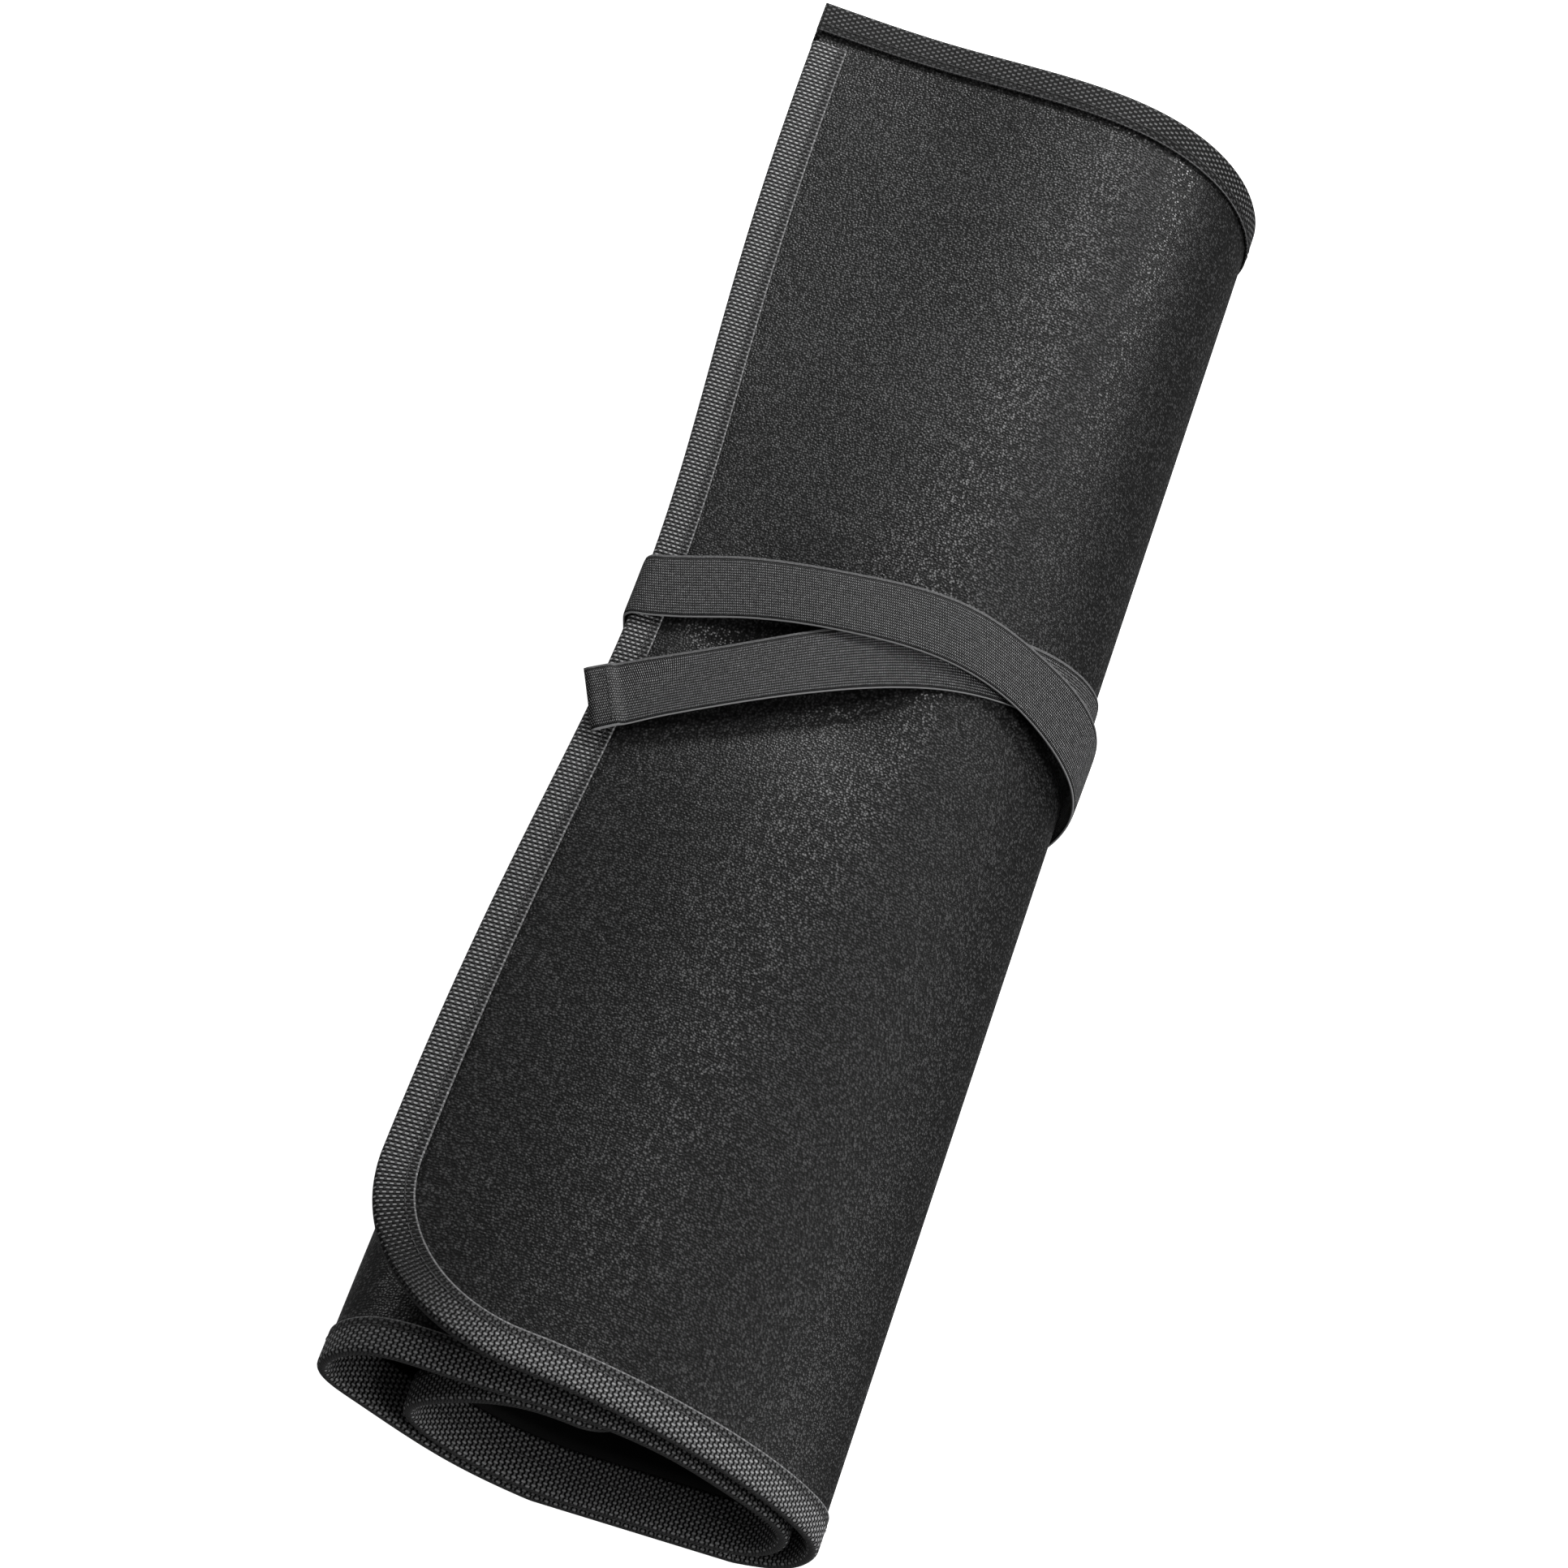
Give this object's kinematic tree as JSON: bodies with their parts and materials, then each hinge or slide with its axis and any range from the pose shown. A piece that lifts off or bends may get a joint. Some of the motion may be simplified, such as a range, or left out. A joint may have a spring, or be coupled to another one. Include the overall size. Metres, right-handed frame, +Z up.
{
  "type": "barbecue tool bag",
  "caption": "Flat roll-up barbecue tool bag of dark leather-look cloth with woven tape edging, rolled up and tied with an elastic strap.",
  "frame": {"origin": "middle of the bag's footprint, on the surface that it lies on", "axes": "+Y along the roll's length, away from the end that shows its open turns; +X across the roll, away from the flap's free edge; +Z up"},
  "size_m": [0.1614, 0.5146, 0.0843],
  "materials": {
    "leather_cloth": "fine grain, satin",
    "woven_tape": "coarse woven tape",
    "pocket_cloth": "smooth cloth",
    "elastic": "finely woven elastic"
  },
  "bodies": {
    "root": {"roll_sheet": "leather_cloth", "front_binding": "woven_tape", "rear_binding": "woven_tape", "pocket_panel": "pocket_cloth", "elastic_strap": "elastic"}
  },
  "joints": []
}
